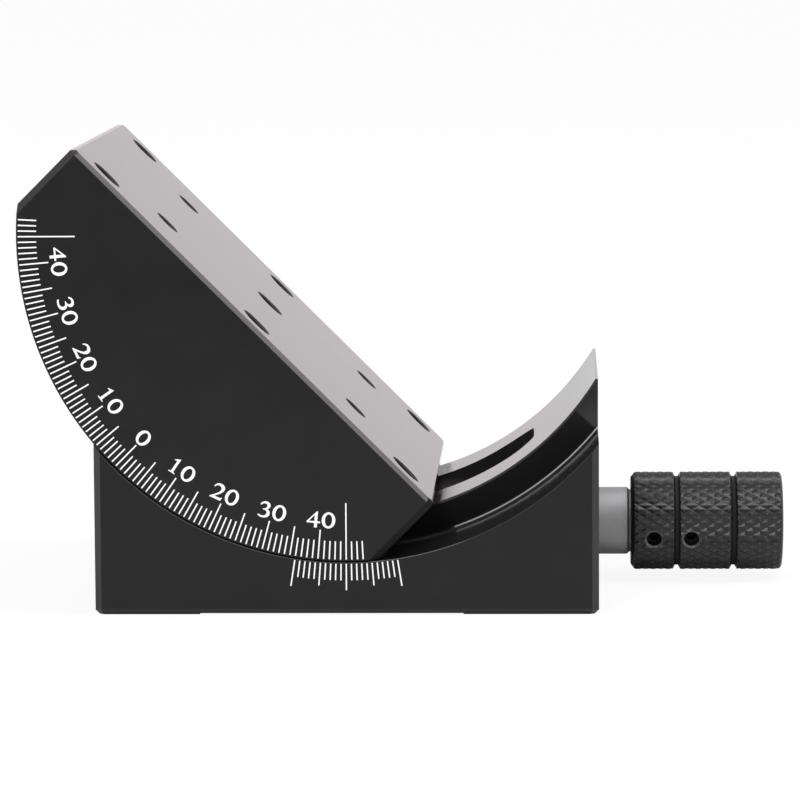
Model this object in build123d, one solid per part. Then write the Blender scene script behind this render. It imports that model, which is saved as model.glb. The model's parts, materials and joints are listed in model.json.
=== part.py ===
from build123d import *
import os
from math import acos, asin, cos, degrees, pi, radians, sin, sqrt, tan

# A goniometer stage: a square table tilts about an axis that lies above it. The table's carriage
# hangs on a curved dovetail rail of the base, and a worm in the base turns it by a toothed segment.
# Millimetres. Origin: centre of the base's underside. +X towards the knob, +Y away from the scale
# face, +Z up. The tilt axis runs along Y. Carriage parts are made level and then tilted to rest.

os.makedirs("parts", exist_ok=True)

# Stage block and table
BASE_LENGTH = 60.0
TABLE_LENGTH = 60.0
STAGE_DEPTH = 60.0
TABLE_DROP = 15.13
TRAVEL = 45.0

# Worm drive
WORM_LEAD = 1.5
WORM_PITCH_RADIUS = 3.68
WORM_TURNS = 5
GEAR_TEETH = 144
ADDENDUM = 0.38
DEDENDUM = 0.5
PRESSURE_ANGLE = 20.0
BACKLASH = 0.12
BORE_ALLOWANCE = 0.14
FLOOR_WALL = 2.92

# Curved dovetail
TIP_GAP = 0.12
RAIL_DEPTH = 4.04
RAIL_WIDTH = 37.0
DOVETAIL_ANGLE = 30.0
SLIDE_GAP = 0.05
CHEEK_GAP = 0.14
GIB_THICKNESS = 1.6
GIB_END_ANGLE = 50.0
FOOT_STEP = 0.17
FOOT_FACET = 0.25
LIP_BREAK = 0.45

# Slot in the rail, over the worm
SLOT_WALL = 7.8
SLOT_WIDTH = 15.0
SLOT_CORNER = 3.5
SLOT_FLOOR_GAP = 0.5

# Toothed segment
SEGMENT_WIDTH = 6.0
SEGMENT_INNER_DEPTH = 2.75
SEGMENT_END_ANGLE = 55.5
LUG_STEP = 0.15

# Holes in the table: a screw radius to drill, a countersink radius and a depth
M4_TAP_RADIUS = 1.65
M4_SINK_RADIUS = 2.13
M3_TAP_RADIUS = 1.25
M3_SINK_RADIUS = 1.72
TABLE_HOLE_DEPTH = 8.0
OUTER_PITCH = 50.0
INNER_PITCH = 32.0

# Threaded mounting holes in the base's underside
MOUNT_PITCH = 50.0
MOUNT_DEPTH = 8.0

# Relief under the base
RELIEF_HEIGHT = 0.15
RELIEF_WIDTH = 31.4
RELIEF_OFFSET = -1.8

# Edge breaks
CORNER_CHAMFER = 0.8
EDGE_CHAMFER = 0.5
RAIL_CHAMFER = 0.3
RAIL_END_CHAMFER = 0.55
ARC_CHAMFER = 0.08

# Shaft, bearings and knob
THREAD_SINK = 0.2
JOURNAL_RADIUS = 2.0
RUNNING_GAP = 0.04
FIT_GAP = 0.02
END_PLAY = 0.05
SLEEVE_STAND = 4.0
SLEEVE_CHAMFER = 0.25
WASHER_THICKNESS = 0.5
WASHER_MARGIN = 0.4
SHIM_THICKNESS = 0.15
SHIM_RADIUS = 3.9
BUSHING_LENGTH = 4.0
BALL_RADIUS = 1.0
BALL_SEAT_RADIUS = 0.95
PLUG_RECESS = 0.2
PLUG_SOCKET = 3.0
PLUG_SOCKET_DEPTH = 1.3
KNOB_RADIUS = 6.1
KNOB_BANDS = (5.72, 7.05, 6.25)
KNOB_GROOVE_DEPTH = 0.55
KNOB_GROOVE_RUN = 0.3
KNOB_GROOVE_FLAT = 0.36
KNOB_START_LENGTH = 0.5
KNOB_START_DEPTH = 0.7
KNOB_END_ROUNDING = 0.6
KNOB_END_DOME = 0.2
KNOB_BORE_DEPTH = 15.0
SHAFT_END_GAP = 0.5

# Small screws and pins
M3_RADIUS = 1.5
M3_SOCKET = 1.5
SOCKET_DEPTH = 1.0
KNOB_SCREW_RADIUS = 1.1
KNOB_SCREW_SOCKET = 1.2
KNOB_SCREW_ANGLE = 16.0
KNOB_SCREW_RECESS = 1.5
GIB_SCREW_ANGLES = (-30.0, 0.0, 30.0)
GIB_SCREW_RADIUS = 1.0
GIB_SCREW_SOCKET = 0.9
GIB_SCREW_RECESS = 0.6
DOG_RADIUS = 0.6
SLEEVE_SCREW_FROM_END = 4.0
SLEEVE_SCREW_RECESS = 0.4
M2_RADIUS = 1.0
M2_HEAD_RADIUS = 1.9
M2_LENGTH = 5.2
M2_SOCKET = 1.2
STOP_RADIUS = 1.0
STOP_OFFSET = 12.0
STOP_REACH = 1.4
STOP_DEPTH = 5.0
STOP_GAP = 0.05
STOP_GROOVE_GAP = 0.2

# What follows from the sizes above
GEAR_PITCH_RADIUS = GEAR_TEETH * WORM_LEAD / (2 * pi)
GEAR_TIP_RADIUS = GEAR_PITCH_RADIUS + ADDENDUM
GEAR_ROOT_RADIUS = GEAR_PITCH_RADIUS - DEDENDUM
WORM_TIP_RADIUS = WORM_PITCH_RADIUS + ADDENDUM
WORM_ROOT_RADIUS = WORM_PITCH_RADIUS - DEDENDUM
BORE_RADIUS = WORM_TIP_RADIUS + BORE_ALLOWANCE
WORM_AXIS_HEIGHT = FLOOR_WALL + BORE_RADIUS
TILT_AXIS_HEIGHT = WORM_AXIS_HEIGHT + WORM_PITCH_RADIUS + GEAR_PITCH_RADIUS
RAIL_RADIUS = GEAR_TIP_RADIUS + TIP_GAP
LEDGE_RADIUS = RAIL_RADIUS + RAIL_DEPTH
CHEEK_RADIUS = LEDGE_RADIUS - CHEEK_GAP
FOOT_RADIUS = LEDGE_RADIUS - FOOT_STEP - FOOT_FACET
SEGMENT_BACK_RADIUS = GEAR_ROOT_RADIUS - SEGMENT_INNER_DEPTH
LUG_RADIUS = GEAR_ROOT_RADIUS - LUG_STEP
SLOT_FLOOR = WORM_AXIS_HEIGHT - WORM_TIP_RADIUS - SLOT_FLOOR_GAP
PITCH_ANGLE = 360 / GEAR_TEETH
SEGMENT_SPACES = 2 * int(TRAVEL / PITCH_ANGLE) + 1
SEGMENT_SCREW_ANGLE = (SEGMENT_SPACES * PITCH_ANGLE / 2 + SEGMENT_END_ANGLE) / 2
REST_TILT = TRAVEL

BASE_END = BASE_LENGTH / 2
FRONT = -STAGE_DEPTH / 2
BACK = STAGE_DEPTH / 2
SLOT_END = BASE_END - SLOT_WALL
RAIL_HALF = RAIL_WIDTH / 2

TILT_AXIS = Axis((0, 0, TILT_AXIS_HEIGHT), (0, 1, 0))
SWEEP_AXIS = Axis((0, 0, TILT_AXIS_HEIGHT), (0, -1, 0))


def tilted(shape):
    """A carriage part, made level, at the tilt that it has at rest."""
    return shape.rotate(TILT_AXIS, REST_TILT)


def below_axis(beta, radius, y=0.0):
    """The point at a radius from the tilt axis; beta is measured from straight down towards +X."""
    angle = radians(beta)
    return Vector(radius * sin(angle), y, TILT_AXIS_HEIGHT - radius * cos(angle))


def radial_plane(beta, radius, y=0.0):
    """A plane at that point whose normal points at the tilt axis."""
    angle = radians(beta)
    return Plane(
        below_axis(beta, radius, y),
        x_dir=(0, 1, 0),
        z_dir=(-sin(angle), 0, cos(angle)),
    )


def arc_ring(section, start, end):
    """A ring about the tilt axis: section holds (y, radius) corners, start and end are beta angles."""
    corners = [Vector(0, y, TILT_AXIS_HEIGHT - radius) for y, radius in section]
    face = make_face(Polyline(*corners, close=True))
    return revolve(face.rotate(SWEEP_AXIS, start), axis=SWEEP_AXIS, revolution_arc=end - start)


def rod(plane, radius, length):
    """A round rod that starts on a plane and runs along its normal."""
    return extrude(plane * Circle(radius), amount=length)


def cone_sink(plane, top_radius, bottom_radius):
    """A 90 degree countersink that opens at a plane and narrows along its normal."""
    depth = top_radius - bottom_radius
    return plane * Cone(
        top_radius, bottom_radius, depth, align=(Align.CENTER, Align.CENTER, Align.MIN)
    )


def hex_socket(plane, across_flats, depth):
    """A hexagon recess that starts on a plane and runs along its normal."""
    return extrude(plane * RegularPolygon(across_flats / 2, 6, major_radius=False), amount=depth)


def rail_half_width(radius):
    """Half the rail's width at a radius, on the dovetail's flank."""
    return RAIL_HALF - (radius - RAIL_RADIUS) * tan(radians(DOVETAIL_ANGLE))


def circle_edges(shape, radius, y):
    """The circular edges of a shape that have a radius and lie at a depth."""
    edges = shape.edges().filter_by(GeomType.CIRCLE)
    return edges.filter_by(
        lambda edge: abs(edge.radius - radius) < 1e-3 and abs(edge.center().Y - y) < 1e-3
    )


# Base


def base_block():
    """The block, with the rail, the ledges and their edge breaks."""
    top = TILT_AXIS_HEIGHT - sqrt(max(RAIL_RADIUS**2 - BASE_END**2, 0))
    block = Pos(0, 0, top / 2) * Box(BASE_LENGTH, STAGE_DEPTH, top)
    block = chamfer(block.edges().filter_by(Axis.Z), CORNER_CHAMFER)
    block = chamfer(block.faces().sort_by(Axis.Z)[0].edges(), EDGE_CHAMFER)
    past = 1.0
    foot = rail_half_width(FOOT_RADIUS)
    half_section = [
        (BACK + past, 0),
        (BACK + past, LEDGE_RADIUS),
        (foot + FOOT_FACET, LEDGE_RADIUS),
        (foot + FOOT_FACET, LEDGE_RADIUS - FOOT_STEP),
        (foot, FOOT_RADIUS),
        (RAIL_HALF, RAIL_RADIUS),
    ]
    mirrored = [(-y, radius) for y, radius in reversed(half_section)]
    block -= arc_ring(half_section + mirrored, -180, 180)
    block = chamfer(block.edges().filter_by(Axis.Y).group_by(Axis.Z)[-1], RAIL_END_CHAMFER)
    for side in (-1, 1):
        block = chamfer(circle_edges(block, RAIL_RADIUS, side * RAIL_HALF), RAIL_CHAMFER)
        block = chamfer(circle_edges(block, LEDGE_RADIUS, side * BACK), ARC_CHAMFER)
    return block


def base():
    """The black base, with the worm's slot and bore, the mounting holes and the relief."""
    body = base_block()
    slot = RectangleRounded(2 * SLOT_END, SLOT_WIDTH, SLOT_CORNER)
    body -= extrude(Plane.XY.offset(SLOT_FLOOR) * slot, amount=TILT_AXIS_HEIGHT)
    bore = Plane((-BASE_END, 0, WORM_AXIS_HEIGHT), x_dir=(0, 1, 0), z_dir=(1, 0, 0))
    body -= rod(bore, BORE_RADIUS, BASE_LENGTH)
    for spot in GridLocations(MOUNT_PITCH, MOUNT_PITCH, 2, 2):
        body -= rod(Plane(spot), M4_TAP_RADIUS, MOUNT_DEPTH)
        body -= cone_sink(Plane(spot), M4_SINK_RADIUS, M4_TAP_RADIUS)
    body -= Pos(RELIEF_OFFSET, 0, RELIEF_HEIGHT / 2) * Box(RELIEF_WIDTH, STAGE_DEPTH, RELIEF_HEIGHT)
    body -= rod(sleeve_screw_plane(), M3_RADIUS + FIT_GAP, FLOOR_WALL + BORE_RADIUS)
    body -= rod(stop_plane(), STOP_RADIUS + FIT_GAP, STOP_DEPTH + RAIL_DEPTH)
    return body


def stop_plane():
    """The plane at the foot of the stop pin, in the middle of the rail, with its normal upwards."""
    return Plane(below_axis(0, RAIL_RADIUS + STOP_DEPTH, STOP_OFFSET))


def stop_pin():
    """The pin that stands out of the rail into the carriage's groove and limits the travel."""
    return rod(stop_plane(), STOP_RADIUS, STOP_DEPTH + STOP_REACH)


def sleeve_screw_plane():
    """The plane on the base's underside where the screw that holds the sleeve goes in."""
    return Plane((BASE_END - SLEEVE_SCREW_FROM_END, 0, 0))


# Shaft and bearings


def shaft_plane(x):
    """A plane across the shaft at x, with its normal towards the knob."""
    return Plane((x, 0, WORM_AXIS_HEIGHT), x_dir=(0, 0, 1), z_dir=(1, 0, 0))


SHOULDER = SLOT_END - WASHER_THICKNESS - END_PLAY
TAIL_END = -(SLOT_END + END_PLAY + BUSHING_LENGTH)
BALL_CENTRE = TAIL_END + BALL_SEAT_RADIUS - sqrt(2) * (BALL_RADIUS + FIT_GAP)
PLUG_FACE = BALL_CENTRE - BALL_RADIUS - FIT_GAP
SLEEVE_END = BASE_END + SLEEVE_STAND
KNOB_START = SLEEVE_END + SHIM_THICKNESS + END_PLAY
SHAFT_END = KNOB_START + KNOB_BORE_DEPTH - SHAFT_END_GAP


def worm_thread():
    """The worm's thread: the rack's trapezoid swept along a right-hand helix, sunk in the shaft."""
    sunk_radius = WORM_ROOT_RADIUS - THREAD_SINK

    def half_width(radius):
        return WORM_LEAD / 4 + (WORM_PITCH_RADIUS - radius) * tan(radians(PRESSURE_ANGLE))

    length = WORM_TURNS * WORM_LEAD
    start = -length / 2
    profile = [
        (WORM_TIP_RADIUS, start - half_width(WORM_TIP_RADIUS)),
        (WORM_TIP_RADIUS, start + half_width(WORM_TIP_RADIUS)),
        (sunk_radius, start + half_width(sunk_radius)),
        (sunk_radius, start - half_width(sunk_radius)),
    ]
    face = make_face(Polyline(*[Vector(radius, 0, z) for radius, z in profile], close=True))
    helix = Helix(WORM_LEAD, length, WORM_PITCH_RADIUS, center=(0, 0, start))
    half_twist = 180 * WORM_TURNS
    phase = REST_TILT * GEAR_TEETH - half_twist
    return shaft_plane(0) * Rot(0, 0, phase) * sweep(face, path=helix, is_frenet=True)


def worm_shaft():
    """The steel shaft: a thick middle with the worm's thread on it, and a journal at each end."""
    shaft = rod(shaft_plane(-SHOULDER), WORM_ROOT_RADIUS, 2 * SHOULDER) + worm_thread()
    shaft += rod(shaft_plane(TAIL_END), JOURNAL_RADIUS, -SHOULDER - TAIL_END)
    shaft += rod(shaft_plane(SHOULDER), JOURNAL_RADIUS, SHAFT_END - SHOULDER)
    return shaft - cone_sink(shaft_plane(TAIL_END), BALL_SEAT_RADIUS, 0)


def bearing_sleeve():
    """The bright sleeve that the shaft turns in; it stands out of the base's right side."""
    start = SLOT_END
    sleeve = rod(shaft_plane(start), BORE_RADIUS - FIT_GAP, SLEEVE_END - start)
    outer_edge = sleeve.edges().filter_by(GeomType.CIRCLE).sort_by(Axis.X)[-1]
    sleeve = chamfer(outer_edge, SLEEVE_CHAMFER)
    return sleeve - rod(shaft_plane(start), JOURNAL_RADIUS + RUNNING_GAP, SLEEVE_END - start)


def sleeve_screw():
    """The set screw under the base that holds the sleeve in its bore."""
    plane = sleeve_screw_plane().offset(SLEEVE_SCREW_RECESS)
    length = FLOOR_WALL - SLEEVE_SCREW_RECESS - FIT_GAP
    screw = rod(plane, M3_RADIUS, length)
    return screw - hex_socket(plane, M3_SOCKET, SOCKET_DEPTH)


def ring_on_shaft(x, length, outer):
    """A ring that the journal turns in."""
    ring = rod(shaft_plane(x), outer, length)
    return ring - rod(shaft_plane(x), JOURNAL_RADIUS + RUNNING_GAP, length)


def thrust_washers():
    """A bronze washer at each shoulder of the shaft's thick middle."""
    outer = BORE_RADIUS - WASHER_MARGIN
    right = ring_on_shaft(SLOT_END - WASHER_THICKNESS, WASHER_THICKNESS - FIT_GAP, outer)
    left = ring_on_shaft(-SLOT_END + FIT_GAP, WASHER_THICKNESS - FIT_GAP, outer)
    return Compound(children=[right, left])


def tail_bushing():
    """The bronze bushing at the shaft's far end."""
    return ring_on_shaft(TAIL_END, BUSHING_LENGTH + END_PLAY, BORE_RADIUS - FIT_GAP)


def thrust_ball():
    """The ball between the shaft's end and the plug."""
    return Pos(BALL_CENTRE, 0, WORM_AXIS_HEIGHT) * Sphere(BALL_RADIUS)


def end_plug():
    """The plug in the left side, which sets the shaft's end play."""
    outside = -BASE_END + PLUG_RECESS
    plug = rod(shaft_plane(outside), BORE_RADIUS - FIT_GAP, PLUG_FACE - outside)
    edge = plug.edges().filter_by(GeomType.CIRCLE).sort_by(Axis.X)[0]
    plug = chamfer(edge, SLEEVE_CHAMFER)
    return plug - hex_socket(shaft_plane(outside), PLUG_SOCKET, PLUG_SOCKET_DEPTH)


def knob_shim():
    """The thin washer between the sleeve and the knob."""
    return ring_on_shaft(SLEEVE_END + END_PLAY / 2, SHIM_THICKNESS, SHIM_RADIUS)


def knob_outline():
    """Half the knob's section: three bands with a groove between them and a rounded, domed end."""

    def point(x, radius):
        return Vector(x, 0, WORM_AXIS_HEIGHT + radius)

    x = KNOB_START
    corners = [
        point(x, 0),
        point(x, KNOB_RADIUS - KNOB_START_DEPTH),
        point(x + KNOB_START_LENGTH, KNOB_RADIUS),
    ]
    for band in KNOB_BANDS[:-1]:
        x += band
        floor = KNOB_RADIUS - KNOB_GROOVE_DEPTH
        corners.append(point(x - KNOB_GROOVE_FLAT / 2 - KNOB_GROOVE_RUN, KNOB_RADIUS))
        corners.append(point(x - KNOB_GROOVE_FLAT / 2, floor))
        corners.append(point(x + KNOB_GROOVE_FLAT / 2, floor))
        corners.append(point(x + KNOB_GROOVE_FLAT / 2 + KNOB_GROOVE_RUN, KNOB_RADIUS))
    x += KNOB_BANDS[-1] - KNOB_END_DOME
    corners.append(point(x - KNOB_END_ROUNDING, KNOB_RADIUS))
    bend = KNOB_END_ROUNDING * (1 - sin(pi / 4))
    rim = point(x, KNOB_RADIUS - KNOB_END_ROUNDING)
    centre = point(x + KNOB_END_DOME, 0)
    dome_radius = ((KNOB_RADIUS - KNOB_END_ROUNDING) ** 2 + KNOB_END_DOME**2) / (2 * KNOB_END_DOME)
    half = (KNOB_RADIUS - KNOB_END_ROUNDING) / 2
    bulge = sqrt(dome_radius**2 - half**2) - dome_radius + KNOB_END_DOME
    return (
        Polyline(*corners)
        + ThreePointArc(corners[-1], point(x - bend, KNOB_RADIUS - bend), rim)
        + ThreePointArc(rim, point(x + bulge, half), centre)
        + Line(centre, corners[0])
    )


def knob():
    """The black knob, with its rounded end, bore and two set screw holes."""
    shaft_axis = Axis((0, 0, WORM_AXIS_HEIGHT), (1, 0, 0))
    body = revolve(make_face(knob_outline()), axis=shaft_axis, revolution_arc=360)
    body -= rod(shaft_plane(KNOB_START), JOURNAL_RADIUS + FIT_GAP, KNOB_BORE_DEPTH)
    for plane in knob_screw_planes():
        body -= rod(plane, KNOB_SCREW_RADIUS + FIT_GAP, KNOB_RADIUS)
    return body


def knob_screw_planes():
    """Planes on the shaft's axis whose normals run out through the knob's two screw holes."""
    first, second, _ = KNOB_BANDS
    angle = radians(KNOB_SCREW_ANGLE)
    out = (0, -cos(angle), -sin(angle))
    spots = (KNOB_START + first / 2, KNOB_START + first + second / 4)
    return [Plane((x, 0, WORM_AXIS_HEIGHT), x_dir=(1, 0, 0), z_dir=out) for x in spots]


def knob_set_screws():
    """Two set screws that hold the knob on the shaft."""
    inner = JOURNAL_RADIUS + FIT_GAP
    outer = KNOB_RADIUS - KNOB_SCREW_RECESS
    screws = []
    for plane in knob_screw_planes():
        screw = rod(plane.offset(inner), KNOB_SCREW_RADIUS, outer - inner)
        socket = hex_socket(plane.offset(outer - SOCKET_DEPTH), KNOB_SCREW_SOCKET, SOCKET_DEPTH)
        screws.append(screw - socket)
    return Compound(children=screws)


# Carriage


def carriage_block():
    """The carriage's outer form: a block under the table, rounded below to the cheek radius."""
    depth_below = CHEEK_RADIUS - TABLE_DROP
    middle = TILT_AXIS_HEIGHT - TABLE_DROP - depth_below / 2
    block = Pos(0, 0, middle) * Box(TABLE_LENGTH, STAGE_DEPTH, depth_below)
    block = chamfer(block.edges().filter_by(Axis.Z), CORNER_CHAMFER)
    block = chamfer(block.faces().sort_by(Axis.Z)[-1].edges(), EDGE_CHAMFER)
    round_bar = extrude(
        Plane((0, FRONT, TILT_AXIS_HEIGHT), x_dir=(1, 0, 0), z_dir=(0, 1, 0)) * Circle(CHEEK_RADIUS),
        amount=STAGE_DEPTH,
    )
    block &= round_bar
    for side in (-1, 1):
        block = chamfer(circle_edges(block, CHEEK_RADIUS, side * BACK), ARC_CHAMFER)
    return block


def gib_offset():
    """How far along Y the gib and its gaps move the carriage's rear flank out."""
    return (GIB_THICKNESS + 2 * SLIDE_GAP) / cos(radians(DOVETAIL_ANGLE))


def channel_section():
    """The carriage's dovetail channel, as (y, radius) corners, with the front lip's corner broken."""
    front_gap = SLIDE_GAP / cos(radians(DOVETAIL_ANGLE))
    inner = RAIL_RADIUS - SLIDE_GAP
    lip = CHEEK_RADIUS - LIP_BREAK
    outer = LEDGE_RADIUS + RAIL_DEPTH
    return [
        (-rail_half_width(inner) - front_gap, inner),
        (rail_half_width(inner) + gib_offset(), inner),
        (rail_half_width(outer) + gib_offset(), outer),
        (-rail_half_width(lip) - front_gap - (outer - lip), outer),
        (-rail_half_width(lip) - front_gap, lip),
    ]


def carriage():
    """The black carriage with its table, dovetail channel, segment groove and threaded holes."""
    body = carriage_block()
    body -= arc_ring(channel_section(), -90, 90)
    half = SEGMENT_WIDTH / 2 + FIT_GAP
    groove = [
        (-half, SEGMENT_BACK_RADIUS - FIT_GAP),
        (half, SEGMENT_BACK_RADIUS - FIT_GAP),
        (half, LEDGE_RADIUS),
        (-half, LEDGE_RADIUS),
    ]
    reach = SEGMENT_END_ANGLE + degrees(FIT_GAP / SEGMENT_BACK_RADIUS)
    body -= arc_ring(groove, -reach, reach)
    for place, tap, sink in table_holes():
        into_table = Plane(place, x_dir=(1, 0, 0), z_dir=(0, 0, -1))
        body -= rod(into_table, tap, TABLE_HOLE_DEPTH)
        body -= cone_sink(into_table, sink, tap)
    for beta in GIB_SCREW_ANGLES:
        body -= rod(gib_screw_plane(beta), GIB_SCREW_RADIUS + FIT_GAP, BACK)
    for plane in segment_screw_planes():
        body -= rod(plane, M2_RADIUS + FIT_GAP, M2_LENGTH + M2_RADIUS)
    body -= stop_groove()
    return tilted(body)


def stop_groove():
    """The groove over the stop pin; its two ends meet the pin at full travel."""
    inner = RAIL_RADIUS - STOP_REACH - STOP_GROOVE_GAP
    half = STOP_RADIUS + STOP_GROOVE_GAP
    section = [
        (STOP_OFFSET - half, inner),
        (STOP_OFFSET + half, inner),
        (STOP_OFFSET + half, RAIL_RADIUS),
        (STOP_OFFSET - half, RAIL_RADIUS),
    ]
    reach = TRAVEL + degrees(asin((STOP_RADIUS + STOP_GAP) / inner))
    return arc_ring(section, -reach, reach)


def table_holes():
    """The place, tap radius and countersink radius of each hole in the table."""
    height = TILT_AXIS_HEIGHT - TABLE_DROP
    holes = []
    for x in (-OUTER_PITCH / 2, 0, OUTER_PITCH / 2):
        for y in (-OUTER_PITCH / 2, OUTER_PITCH / 2):
            holes.append((Vector(x, y, height), M4_TAP_RADIUS, M4_SINK_RADIUS))
    holes.append((Vector(0, 0, height), M4_TAP_RADIUS, M4_SINK_RADIUS))
    for x in (-INNER_PITCH / 2, INNER_PITCH / 2):
        for y in (-INNER_PITCH / 2, INNER_PITCH / 2):
            holes.append((Vector(x, y, height), M3_TAP_RADIUS, M3_SINK_RADIUS))
    return holes


def involute(angle):
    """The involute function of a pressure angle in radians."""
    return tan(angle) - angle


def tooth_half_angle(radius):
    """Half a gear tooth's width at a radius, as an angle in radians, on an involute flank."""
    pressure = radians(PRESSURE_ANGLE)
    here = acos(GEAR_PITCH_RADIUS * cos(pressure) / radius)
    half_width = (WORM_LEAD / 2 - BACKLASH) / 2
    return half_width / GEAR_PITCH_RADIUS + involute(pressure) - involute(here)


def teeth_outline(y, twist):
    """The teeth's outline at a depth, turned by a twist in degrees about the tilt axis."""
    at_root = degrees(tooth_half_angle(GEAR_ROOT_RADIUS))
    at_tip = degrees(tooth_half_angle(GEAR_TIP_RADIUS))
    sunk = GEAR_ROOT_RADIUS - ADDENDUM
    points = []
    for number in range(SEGMENT_SPACES + 1):
        beta = (number - SEGMENT_SPACES / 2) * PITCH_ANGLE
        points.append(below_axis(beta - at_root, GEAR_ROOT_RADIUS, y))
        points.append(below_axis(beta - at_tip, GEAR_TIP_RADIUS, y))
        points.append(below_axis(beta + at_tip, GEAR_TIP_RADIUS, y))
        points.append(below_axis(beta + at_root, GEAR_ROOT_RADIUS, y))
    last = SEGMENT_SPACES / 2 * PITCH_ANGLE + at_root
    inner = [below_axis(beta, sunk, y) for beta in (last, 0, -last)]
    outline = (
        Polyline(*points)
        + Line(points[-1], inner[0])
        + ThreePointArc(*inner)
        + Line(inner[2], points[0])
    )
    return make_face(outline).rotate(TILT_AXIS, twist)


def worm_wheel_segment():
    """The bronze segment: a curved bar with teeth at the worm's lead angle and a lug at each end."""
    half = SEGMENT_WIDTH / 2
    bar = arc_ring(
        [
            (-half, SEGMENT_BACK_RADIUS),
            (half, SEGMENT_BACK_RADIUS),
            (half, LUG_RADIUS),
            (-half, LUG_RADIUS),
        ],
        -SEGMENT_END_ANGLE,
        SEGMENT_END_ANGLE,
    )
    lead_slope = WORM_LEAD / (2 * pi * WORM_PITCH_RADIUS)
    twist = degrees(half * lead_slope / GEAR_PITCH_RADIUS)
    teeth = loft([teeth_outline(-half, -twist), teeth_outline(half, twist)], ruled=True)
    bar += teeth
    for plane in segment_screw_planes():
        bar -= rod(plane, M2_RADIUS + FIT_GAP, M2_LENGTH)
        bar -= cone_sink(plane, M2_HEAD_RADIUS + FIT_GAP, M2_RADIUS + FIT_GAP)
    return tilted(bar)


def segment_screw_planes():
    """Planes on the segment's lugs where its two screws go in, with normals into the carriage."""
    return [radial_plane(side * SEGMENT_SCREW_ANGLE, LUG_RADIUS) for side in (-1, 1)]


def segment_screws():
    """Two countersunk screws that hold the segment."""
    screws = []
    for plane in segment_screw_planes():
        screw = rod(plane, M2_RADIUS, M2_LENGTH) + cone_sink(plane, M2_HEAD_RADIUS, M2_RADIUS)
        screws.append(tilted(screw - hex_socket(plane, M2_SOCKET, SOCKET_DEPTH / 2)))
    return Compound(children=screws)


def gib():
    """The brass gib that takes up play between the rail's rear flank and the carriage."""
    lean = cos(radians(DOVETAIL_ANGLE))
    near = SLIDE_GAP / lean
    far = near + GIB_THICKNESS / lean
    inner = RAIL_RADIUS + CHEEK_GAP
    outer = FOOT_RADIUS - CHEEK_GAP
    section = [
        (rail_half_width(inner) + near, inner),
        (rail_half_width(inner) + far, inner),
        (rail_half_width(outer) + far, outer),
        (rail_half_width(outer) + near, outer),
    ]
    strip = arc_ring(section, -GIB_END_ANGLE, GIB_END_ANGLE)
    for beta in GIB_SCREW_ANGLES:
        strip -= rod(gib_screw_plane(beta), DOG_RADIUS + FIT_GAP, STAGE_DEPTH)
    return tilted(strip)


def gib_screw_plane(beta):
    """A plane at the gib's back, in the middle of its height, with its normal towards +Y."""
    radius = RAIL_RADIUS + RAIL_DEPTH / 2
    return Plane(below_axis(beta, radius, gib_seat()), x_dir=(1, 0, 0), z_dir=(0, 1, 0))


def gib_seat():
    """How far back the gib screws' dog points reach."""
    middle = rail_half_width(RAIL_RADIUS + RAIL_DEPTH / 2)
    return middle + (SLIDE_GAP + GIB_THICKNESS / 2) / cos(radians(DOVETAIL_ANGLE))


def gib_screws():
    """Set screws with dog points that press the gib."""
    screws = []
    clear = GIB_SCREW_RADIUS * tan(radians(DOVETAIL_ANGLE)) + GIB_THICKNESS / 2 + FIT_GAP
    for beta in GIB_SCREW_ANGLES:
        seat = gib_screw_plane(beta)
        start = seat.offset(clear / cos(radians(DOVETAIL_ANGLE)))
        length = BACK - GIB_SCREW_RECESS - start.origin.Y
        screw = rod(start, GIB_SCREW_RADIUS, length)
        screw += rod(seat.offset(FIT_GAP), DOG_RADIUS, start.origin.Y - seat.origin.Y)
        screw -= hex_socket(start.offset(length - SOCKET_DEPTH), GIB_SCREW_SOCKET, SOCKET_DEPTH)
        screws.append(tilted(screw))
    return Compound(children=screws)


PARTS = {
    "base": base,
    "bearing_sleeve": bearing_sleeve,
    "sleeve_screw": sleeve_screw,
    "thrust_washers": thrust_washers,
    "tail_bushing": tail_bushing,
    "thrust_ball": thrust_ball,
    "end_plug": end_plug,
    "worm_shaft": worm_shaft,
    "knob": knob,
    "knob_set_screws": knob_set_screws,
    "knob_shim": knob_shim,
    "stop_pin": stop_pin,
    "carriage": carriage,
    "worm_wheel_segment": worm_wheel_segment,
    "segment_screws": segment_screws,
    "gib": gib,
    "gib_screws": gib_screws,
}

for name, make in PARTS.items():
    export_step(make(), f"parts/{name}.step")
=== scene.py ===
"""The goniometer stage's finish: black anodised blocks, engraved scales, knurled knob and bare metal.

Lengths are in metres. The origin is the centre of the base's underside, +X runs towards the knob,
+Y away from the scale face and +Z up. The tilt axis runs along Y, above the table.
"""

import json
from math import cos, degrees, pi, radians, sin, tau

import bmesh
import bpy
from bpy.props import FloatProperty, FloatVectorProperty, IntProperty, PointerProperty
from mathutils import Matrix, Vector


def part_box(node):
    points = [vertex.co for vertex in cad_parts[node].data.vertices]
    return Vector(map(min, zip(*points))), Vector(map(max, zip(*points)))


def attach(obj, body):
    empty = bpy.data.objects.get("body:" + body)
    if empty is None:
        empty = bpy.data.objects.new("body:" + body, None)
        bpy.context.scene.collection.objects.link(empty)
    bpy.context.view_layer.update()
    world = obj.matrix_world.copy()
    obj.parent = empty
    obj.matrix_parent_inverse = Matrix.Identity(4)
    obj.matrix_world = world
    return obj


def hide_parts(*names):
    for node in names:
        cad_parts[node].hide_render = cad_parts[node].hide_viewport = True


bl_info = {
    "name": "Goniometer stage",
    "version": (1, 0, 0),
    "blender": (4, 5, 0),
    "location": "3D View > Sidebar > Goniometer",
    "description": "Finishes, scales and knurling of a worm-driven goniometer stage",
    "category": "Object",
}

MM = 0.001

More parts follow.
